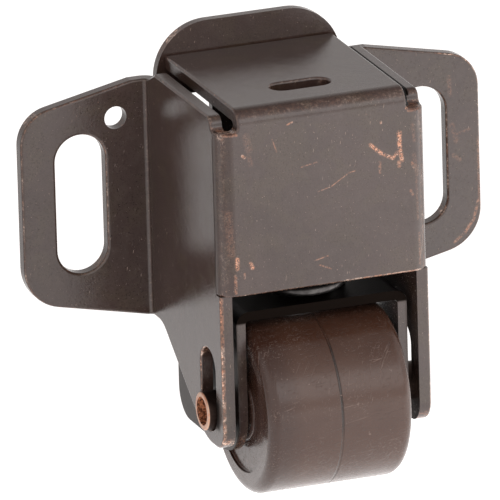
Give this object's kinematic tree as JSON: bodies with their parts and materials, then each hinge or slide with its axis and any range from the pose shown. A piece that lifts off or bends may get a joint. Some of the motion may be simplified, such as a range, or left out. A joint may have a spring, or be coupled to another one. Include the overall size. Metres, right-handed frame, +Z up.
{
  "type": "roller catch",
  "caption": "Sprung roller catch for a cabinet door: folded steel case with slotted fixing ears, and a roller on a tubular axle in a sliding carrier.",
  "frame": {"origin": "midway between the centres of the two ear slots, on the rear plane of the ears, which lies against the cabinet", "axes": "+X along the case's width, +Y out of the mounting plane towards the cabinet, +Z up, so that the roller hangs at -Z; the front plate faces -Y"},
  "size_m": [0.046, 0.0243, 0.0415],
  "materials": {
    "case_sheet": "steel sheet with a dark oil-rubbed bronze finish, worn to copper at its edges",
    "carrier_sheet": "the same dark bronze finish on thinner steel sheet",
    "roller_plastic": "moulded brown plastic, lightly scuffed",
    "axle_tube": "copper-coloured plated tube, a little dulled",
    "spring_wire": "drawn spring wire, lightly oiled"
  },
  "bodies": {
    "housing": {"housing": "case_sheet", "spring": "spring_wire"},
    "carrier": {"carrier": "carrier_sheet", "axle": "axle_tube"},
    "roller": {"roller": "roller_plastic"}
  },
  "joints": [
    {"name": "carrier_slide", "type": "slide", "parent": "housing", "child": "carrier", "axis": [0, 0, 1], "range_m": [0, 0.0042], "stiffness_N_per_m": 5000, "springref_m": -0.004, "deforming": ["spring"]},
    {"name": "roller_spin", "type": "hinge", "parent": "carrier", "child": "roller", "pos_m": [0, -0.01585, -0.0168], "axis": [1, 0, 0], "continuous": true}
  ]
}
